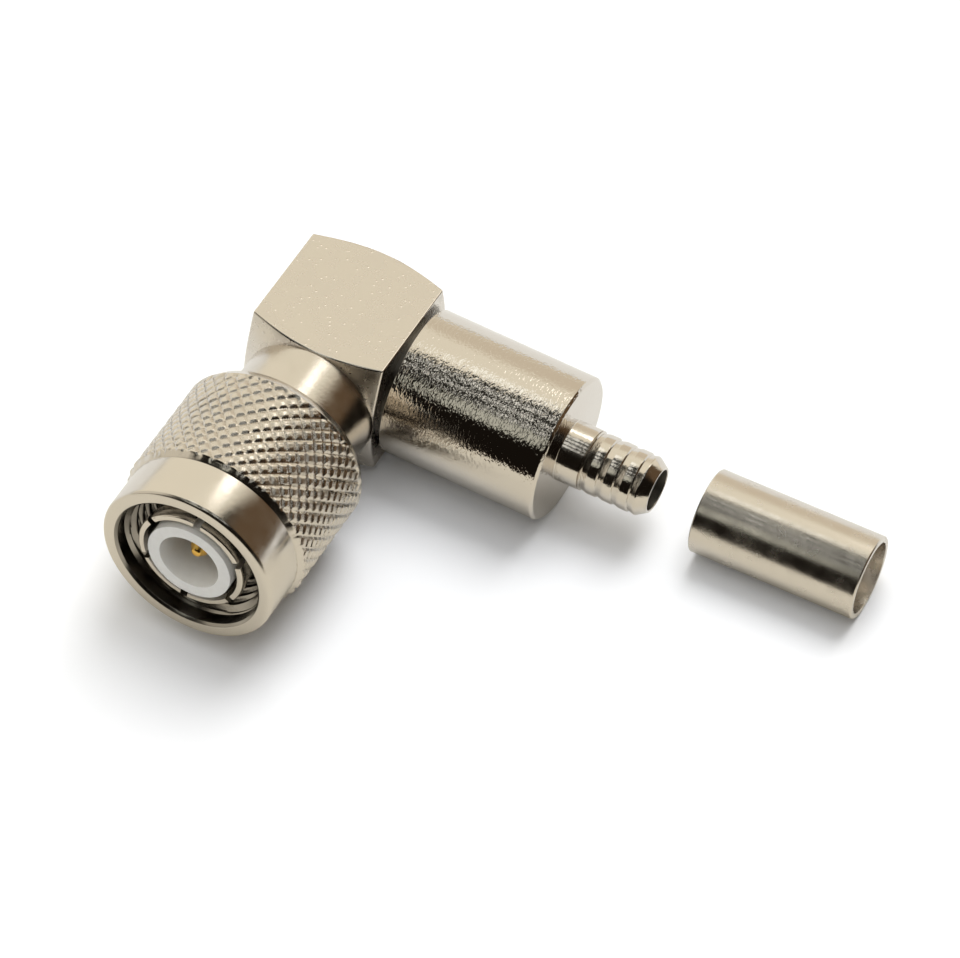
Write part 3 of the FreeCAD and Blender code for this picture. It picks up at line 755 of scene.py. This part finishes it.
# What stands round the bench, as bright metal shows it. A later area covers those before it, and
# each is full inside its inner angle and gone outside its outer one.
softAreas = {
    "leftWall": {"azimuth": -100, "elevation": 10, "inner": 30, "outer": 45,
                 "colour": "#E8E0CE", "strength": 0.9},
    "brownRightWall": {"azimuth": 55, "elevation": 18, "inner": 18, "outer": 40,
                       "colour": "#63503C", "strength": 1.0},
    "stripBehindCamera": {"azimuth": -158, "elevation": 50, "inner": 5, "outer": 12,
                          "colour": "#E0E0D2", "strength": 0.75},
    "paleBackdrop": {"azimuth": -26, "elevation": 16, "inner": 54, "outer": 60,
                     "colour": "#F8F0DC", "strength": 1.0},
    "creamBackdropMiddle": {"azimuth": -12, "elevation": 18, "inner": 5, "outer": 25,
                            "colour": "#DFD2BC", "strength": 1.0},
    "highWindow": {"azimuth": -35, "elevation": 65, "inner": 3, "outer": 7,
                   "colour": "#FFFFF6", "strength": 1.3},
    "benchLamp": {"azimuth": 5, "elevation": 49, "inner": 5, "outer": 9,
                  "colour": "#FFFAEE", "strength": 2.4},
}
ceilingArea = {"azimuth": 0, "elevation": 90, "inner": 24, "outer": 36,
               "colour": "#33322E", "strength": 1.0}
downlight = {"colour": "#FFFFF8", "strength": 1.0}
# Lamps that light the bench and the object, but don't show in metal.
lamps = {
    "keyLight": {"azimuth": 5, "elevation": 66, "distance": 600, "size": 380, "power": 2.4},
    "topLight": {"azimuth": 180, "elevation": 84, "distance": 600, "size": 620, "power": 1.6},
    "fillLight": {"azimuth": -160, "elevation": 40, "distance": 600, "size": 500, "power": 0.3},
}


def direction(azimuth, elevation):
    turned, raised = math.radians(azimuth), math.radians(elevation)
    return Vector((math.sin(turned) * math.cos(raised), math.cos(turned) * math.cos(raised),
                   math.sin(raised)))


def makeBench(look):
    half = look["benchSize"] / 2 * mm
    level = cadBox[0].z
    mesh = bpy.data.meshes.new("bench")
    mesh.from_pydata([(-half, -half, level), (half, -half, level), (half, half, level),
                      (-half, half, level)], [], [(0, 1, 2, 3)])
    material, tree = newMaterial("benchPaper")
    rays = addNode(tree, "LightPath")
    lift = addNode(tree, "Math", {1: look["benchLift"]}, {0: rays.outputs["Is Camera Ray"]},
                   operation="MULTIPLY")
    where = addNode(tree, "TexCoord").outputs["Object"]
    # Reflections only: painted shadow of the object on the bench towards the camera, then painted
    # shade at the bench's far end.
    nearness = addNode(tree, "VectorMath", {1: tuple(direction(look["shadeAzimuth"], 0))},
                       {0: where}, operation="DOT_PRODUCT")
    shade = addNode(tree, "MapRange",
                    {"From Min": look["shadeFrom"] * mm, "From Max": look["shadeTo"] * mm},
                    {"Value": nearness.outputs["Value"]}, interpolation_type="SMOOTHSTEP")
    mirrored = addNode(tree, "Mix", {"A": hexColour(look["mirroredColour"]),
                       "B": hexColour(look["shadeColour"])},
                       {"Factor": shade.outputs["Result"]}, data_type="RGBA")
    end = addNode(tree, "MapRange",
                  {"From Min": look["farShadeFrom"] * mm, "From Max": look["farShadeTo"] * mm},
                  {"Value": nearness.outputs["Value"]}, interpolation_type="SMOOTHSTEP")
    ended = addNode(tree, "Mix", {"B": hexColour(look["farShadeColour"])},
                    {"Factor": end.outputs["Result"], "A": mirrored.outputs["Result"]},
                    data_type="RGBA")
    # The camera sees the plain paper; glossy rays see the darker copy with the painted shade.
    colour = addNode(tree, "Mix", {"A": hexColour(look["benchColour"])},
                     {"Factor": rays.outputs["Is Glossy Ray"], "B": ended.outputs["Result"]},
                     data_type="RGBA")
    paper = addNode(tree, "BsdfDiffuse", links={"Color": colour.outputs["Result"]})
    glow = addNode(tree, "Emission", links={"Strength": lift.outputs["Value"]})
    both = addNode(tree, "AddShader", links={0: paper.outputs[0], 1: glow.outputs[0]})
    addNode(tree, "OutputMaterial", links={"Surface": both.outputs[0]})
    mesh.materials.append(material)
    bench = bpy.data.objects.new("bench", mesh)
    scene.collection.objects.link(bench)


def lightOf(area):
    return [part * area["strength"] for part in hexColour(area["colour"])[:3]] + [1.0]


# 1 inside the area, 0 outside it, with a soft border.
def areaMask(tree, towards, area):
    middle = direction(area["azimuth"], area["elevation"])
    near = addNode(tree, "VectorMath", {1: tuple(middle)}, {0: towards}, operation="DOT_PRODUCT")
    return addNode(tree, "MapRange", {"From Min": math.cos(math.radians(area["outer"])),
                   "From Max": math.cos(math.radians(area["inner"]))},
                   {"Value": near.outputs["Value"]},
                   interpolation_type="SMOOTHSTEP").outputs["Result"]


# A dim ceiling with a grid of round downlights.
def ceilingLight(tree, towards, look):
    height = addNode(tree, "SeparateXYZ", links={0: towards})
    share = addNode(tree, "Math", {0: 1.0}, {1: height.outputs["Z"]}, operation="DIVIDE")
    plan = addNode(tree, "VectorMath", links={0: towards, "Scale": share.outputs["Value"]},
                   operation="SCALE")
    cells = addNode(tree, "TexVoronoi", {"Scale": 1 / look["downlightGap"], "Randomness": 0.0},
                    {"Vector": plan.outputs["Vector"]}, voronoi_dimensions="2D")
    lit = addNode(tree, "MapRange", {"From Min": look["downlightR"] + 0.05,
                  "From Max": look["downlightR"] - 0.05, "To Min": 0.0, "To Max": 1.0},
                  {"Value": cells.outputs["Distance"]})
    mixed = addNode(tree, "Mix", {"A": lightOf(ceilingArea), "B": lightOf(downlight)},
                    {"Factor": lit.outputs["Result"]}, data_type="RGBA")
    return mixed.outputs["Result"]


def makeWorld(look, areas):
    world = bpy.data.worlds.new("studio")
    world.use_nodes = True
    tree = world.node_tree
    tree.nodes.clear()
    towards = addNode(tree, "TexCoord").outputs["Generated"]
    mixed = addNode(tree, "Mix", {"A": hexColour(look["roomColour"])},
                    {"Factor": areaMask(tree, towards, ceilingArea),
                     "B": ceilingLight(tree, towards, look)}, data_type="RGBA")
    colour = mixed.outputs["Result"]
    for area in areas.values():
        mixed = addNode(tree, "Mix", {"B": lightOf(area)},
                        {"Factor": areaMask(tree, towards, area), "A": colour}, data_type="RGBA")
        colour = mixed.outputs["Result"]
    rays = addNode(tree, "LightPath")
    shown = addNode(tree, "Mix", {"B": (1, 1, 1, 1)},
                    {"Factor": rays.outputs["Is Camera Ray"], "A": colour}, data_type="RGBA")
    ground = addNode(tree, "Background", links={"Color": shown.outputs["Result"]})
    addNode(tree, "OutputWorld", links={"Surface": ground.outputs[0]})
    scene.world = world


def makeLamp(name, look):
    data = bpy.data.lights.new(name, "AREA")
    data.shape = "DISK"
    data.size = look["size"] * mm
    data.energy = look["power"]
    lamp = bpy.data.objects.new(name, data)
    towards = direction(look["azimuth"], look["elevation"])
    middle = (cadBox[0] + cadBox[1]) / 2
    lamp.location = middle + towards * look["distance"] * mm
    lamp.rotation_mode = "QUATERNION"
    lamp.rotation_quaternion = towards.to_track_quat("Z", "Y")
    lamp.visible_glossy = False
    scene.collection.objects.link(lamp)


makeBench(studioLook)
makeWorld(studioLook, softAreas)
for lampName, lampLook in lamps.items():
    makeLamp(lampName, lampLook)
print("bench and lights made")
